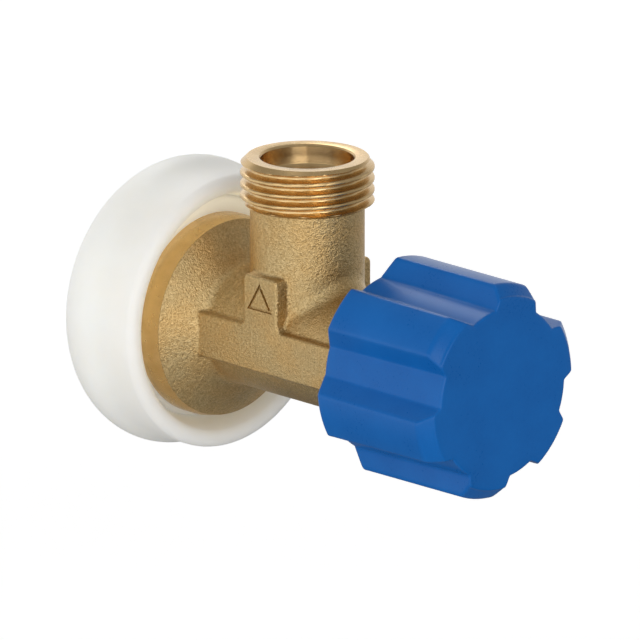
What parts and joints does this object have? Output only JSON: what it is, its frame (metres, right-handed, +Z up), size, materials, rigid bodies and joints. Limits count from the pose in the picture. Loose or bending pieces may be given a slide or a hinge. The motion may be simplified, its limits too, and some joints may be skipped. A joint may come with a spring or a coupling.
{
  "type": "angle valve",
  "caption": "Cast brass angle valve with a threaded outlet on top, a white wall collar behind its flange and a lobed blue handwheel that lifts a rubber washer off its seat.",
  "frame": {"origin": "on the inlet axis, in the plane of the wall that the collar and the end of the spigot meet", "axes": "+Z up along the outlet, +Y into the wall along the inlet axis, +X to the right of someone who faces the handwheel"},
  "size_m": [0.0464, 0.0752, 0.0518],
  "materials": {
    "cast_brass": "sand cast, with machined flange rim and threads",
    "turned_brass": "turned",
    "white_plastic": "milky, slightly translucent",
    "blue_plastic": "satin moulded",
    "black_rubber": "moulded",
    "fibre": "pressed fibre",
    "slip_plastic": "smooth",
    "spring_steel": "bright"
  },
  "bodies": {
    "valve": {"valve_body": "cast_brass", "wall_collar": "white_plastic", "bonnet": "turned_brass", "bonnet_gasket": "fibre"},
    "spindle_set": {"spindle": "turned_brass", "handwheel": "blue_plastic", "spindle_o_ring_inner": "black_rubber", "spindle_o_ring_outer": "black_rubber", "thrust_washer": "slip_plastic", "spindle_circlip": "spring_steel"},
    "carrier_set": {"valve_carrier": "turned_brass", "carrier_o_ring": "black_rubber", "seat_washer": "black_rubber", "plain_washer": "turned_brass", "washer_screw": "spring_steel"}
  },
  "joints": [
    {"name": "handwheel_turn", "type": "hinge", "parent": "valve", "child": "spindle_set", "pos_m": [0, -0.065, 0], "axis": [0, -1, 0], "range_deg": [0, 900]},
    {"name": "carrier_slide", "type": "slide", "parent": "valve", "child": "carrier_set", "axis": [0, -1, 0], "range_m": [0, 0.00375]}
  ],
  "couplings": [
    {"joint": "carrier_slide", "follows": "handwheel_turn", "m_per_rad": 0.00023873}
  ]
}
